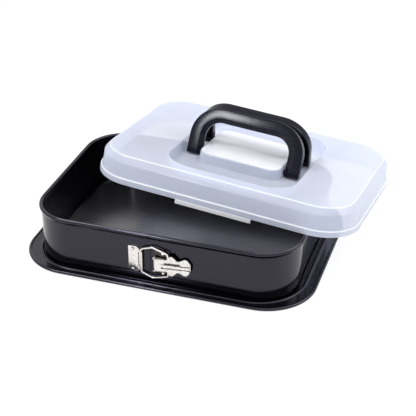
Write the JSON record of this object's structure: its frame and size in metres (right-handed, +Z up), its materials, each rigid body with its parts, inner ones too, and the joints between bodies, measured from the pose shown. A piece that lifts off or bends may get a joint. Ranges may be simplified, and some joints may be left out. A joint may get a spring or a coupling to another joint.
{
  "type": "baking pan with lid",
  "caption": "Rectangular springform baking pan on a serving base, with a toggle clasp and a translucent carrying lid with fold-down handles.",
  "frame": {"origin": "Centre of the flat underside of the base plate, on the surface that the pan stands on.", "axes": "+X along the long side, to the right as seen from the clasp; +Y from the clasp side to the back; +Z up."},
  "size_m": [0.4319, 0.3466, 0.1579],
  "materials": {
    "nonstick_steel": "dark non-stick coating on thin steel sheet",
    "tinned_steel": "bright tin-plated pressed steel",
    "plain_steel": "plain drawn steel wire",
    "clear_plastic": "translucent bluish moulded plastic",
    "black_plastic": "black moulded plastic with a soft sheen"
  },
  "bodies": {
    "base": {"base_plate": "nonstick_steel"},
    "band": {"side_band": "nonstick_steel", "rim_wire": "plain_steel", "catch_plate": "tinned_steel", "catch_rivets": "tinned_steel", "lever_bracket": "tinned_steel", "bracket_rivets": "tinned_steel", "lever_pin": "tinned_steel"},
    "lever": {"clasp_lever": "tinned_steel"},
    "bail": {"wire_bail": "tinned_steel"},
    "lid": {"lid_shell": "clear_plastic"},
    "front_snap": {"front_tab": "clear_plastic"},
    "rear_snap": {"rear_tab": "clear_plastic"},
    "front_grip": {"front_handle": "black_plastic"},
    "rear_grip": {"rear_handle": "black_plastic"}
  },
  "joints": [
    {"name": "band_lift", "type": "slide", "parent": "base", "child": "band", "axis": [0, 0, 1], "range_m": [0, 0.15]},
    {"name": "lid_lift", "type": "slide", "parent": "band", "child": "lid", "axis": [0, 0, 1], "range_m": [0, 0.2]},
    {"name": "lever_swing", "type": "hinge", "parent": "band", "child": "lever", "pos_m": [-0.001, -0.1282, 0.034], "axis": [0, 0, -1], "range_deg": [0, 130]},
    {"name": "bail_swing", "type": "hinge", "parent": "lever", "child": "bail", "pos_m": [0.0163, -0.1276, 0.034], "axis": [0, 0, -1], "range_deg": [-130, 0]},
    {"name": "front_handle_fold", "type": "hinge", "parent": "lid", "child": "front_grip", "pos_m": [0.05937, 0.04895, 0.09701], "axis": [0.9951, -0.0654, -0.0741], "range_deg": [0, 107.3]},
    {"name": "rear_handle_fold", "type": "hinge", "parent": "lid", "child": "rear_grip", "pos_m": [0.06214, 0.09811, 0.0908], "axis": [-0.9951, 0.0654, 0.0741], "range_deg": [0, 107.3]},
    {"name": "front_tab_flex", "type": "hinge", "parent": "lid", "child": "front_snap", "pos_m": [0.05126, -0.05774, 0.08221], "axis": [-0.9951, 0.0654, 0.0741], "range_deg": [0, 25], "stiffness_Nm_per_rad": 0.02},
    {"name": "rear_tab_flex", "type": "hinge", "parent": "lid", "child": "rear_snap", "pos_m": [0.06566, 0.19802, 0.04989], "axis": [0.9951, -0.0654, -0.0741], "range_deg": [0, 25], "stiffness_Nm_per_rad": 0.02}
  ],
  "couplings": [
    {"joint": "bail_swing", "follows": "lever_swing", "ratio": -1}
  ]
}
